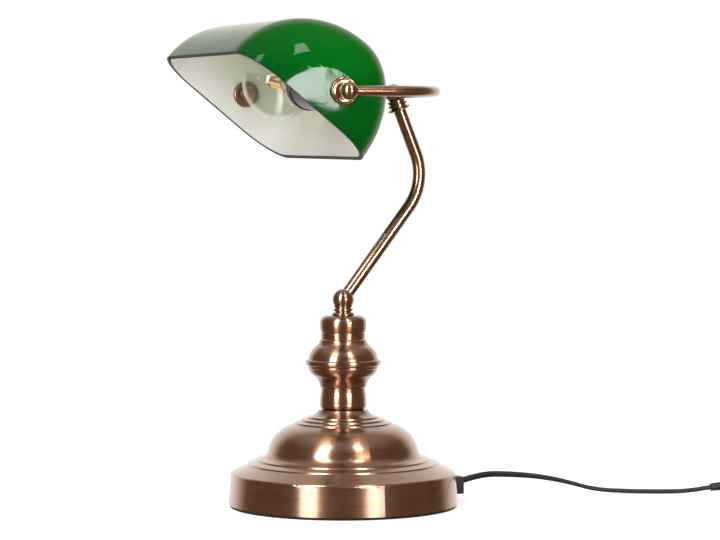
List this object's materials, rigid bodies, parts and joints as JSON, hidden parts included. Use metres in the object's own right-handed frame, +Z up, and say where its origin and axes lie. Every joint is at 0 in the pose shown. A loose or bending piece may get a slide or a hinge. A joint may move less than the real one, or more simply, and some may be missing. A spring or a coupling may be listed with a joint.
{
  "type": "banker desk lamp",
  "caption": "Banker's desk lamp: domed brass base and turned column, bent arm, forked yoke and a tilting green glass shade, with cord, switch and plug.",
  "frame": {"origin": "centre of the felt under the base", "axes": "+Z up, -Y the lamp's front, X along the shade"},
  "size_m": [0.2939, 0.5431, 0.3773],
  "materials": {
    "antique_brass": "lathe-brushed antique brass, lacquered",
    "zinc_steel": "zinc-plated steel",
    "cast_iron": "rough casting",
    "felt": "black felt",
    "gasket": "fibre washer",
    "cord_black": "matt flexible PVC",
    "black_plastic": "moulded, half gloss",
    "insulator": null,
    "nickel_brass": "nickel-plated brass",
    "shade_glass": "cased glass: deep green over opal white",
    "clear_glass": "clear blown glass",
    "filament": "LED filament strips"
  },
  "bodies": {
    "base": {"felt_pad": "felt", "base_shell": "antique_brass", "base_plate": "zinc_steel", "plate_screws": "zinc_steel", "base_ballast": "cast_iron", "tie_tube": "zinc_steel", "tie_nut": "zinc_steel", "tie_washer": "zinc_steel", "column_lower_shell": "antique_brass", "column_belt_ring": "antique_brass", "column_upper_shell": "antique_brass", "neck_nut": "antique_brass", "cord_grip": "cord_black", "base_lead": "cord_black", "cord_run": "cord_black", "cord_tail": "cord_black", "cord_end": "cord_black", "cord_coil": "cord_black", "switch_case_lower": "black_plastic", "switch_case_upper": "black_plastic", "switch_screws": "zinc_steel", "plug_body": "black_plastic", "plug_pins": "nickel_brass"},
    "neck": {"neck_socket": "antique_brass", "ball_keeper": "zinc_steel"},
    "arm": {"arm_ball": "antique_brass", "arm_tube": "antique_brass", "arm_lead": "cord_black", "arm_top_collar": "antique_brass"},
    "yoke": {"yoke_hub": "antique_brass", "yoke_bar": "antique_brass", "yoke_lead": "cord_black", "yoke_end_ball_left": "antique_brass", "yoke_end_ball_right": "antique_brass", "yoke_boss_left": "antique_brass", "yoke_boss_right": "antique_brass"},
    "shade": {"glass_shade": "shade_glass", "rosette_left": "antique_brass", "rosette_right": "antique_brass", "gasket_pair_left": "gasket", "gasket_pair_right": "gasket", "pivot_nipple_left": "zinc_steel", "pivot_nipple_right": "zinc_steel", "inner_nut": "zinc_steel", "cup_washer": "antique_brass", "dome_nut": "antique_brass", "holder_bracket": "zinc_steel", "holder_cap": "black_plastic", "holder_skirt": "black_plastic", "holder_core": "insulator", "holder_screw_shell": "nickel_brass", "holder_contact": "nickel_brass", "lamp_tip_contact": "nickel_brass", "lamp_cap_insulator": "insulator", "lamp_cap": "nickel_brass", "bulb_glass": "clear_glass", "bulb_stem": "clear_glass", "filaments": "filament", "filament_supports": "zinc_steel"},
    "rocker": {"switch_rocker": "black_plastic"}
  },
  "joints": [
    {"name": "neck_swivel", "type": "hinge", "parent": "base", "child": "neck", "pos_m": [0, 0, 0.1616], "axis": [0, 0, 1], "range_deg": [-150, 150]},
    {"name": "arm_tilt", "type": "hinge", "parent": "neck", "child": "arm", "pos_m": [0, 0, 0.1616], "axis": [1, 0, 0], "range_deg": [-15, 15]},
    {"name": "head_swivel", "type": "hinge", "parent": "arm", "child": "yoke", "pos_m": [0, 0.04207, 0.32279], "axis": [0, -0.3714, 0.9285], "range_deg": [-30, 30]},
    {"name": "shade_tilt", "type": "hinge", "parent": "yoke", "child": "shade", "pos_m": [0, -0.04243, 0.32279], "axis": [1, 0, 0], "range_deg": [-35, 40]},
    {"name": "switch_rocker_tilt", "type": "hinge", "parent": "base", "child": "rocker", "pos_m": [0.04889, 0.35386, 0.0135], "axis": [-0.995, 0.0995, 0], "range_deg": [-16, 0]}
  ]
}
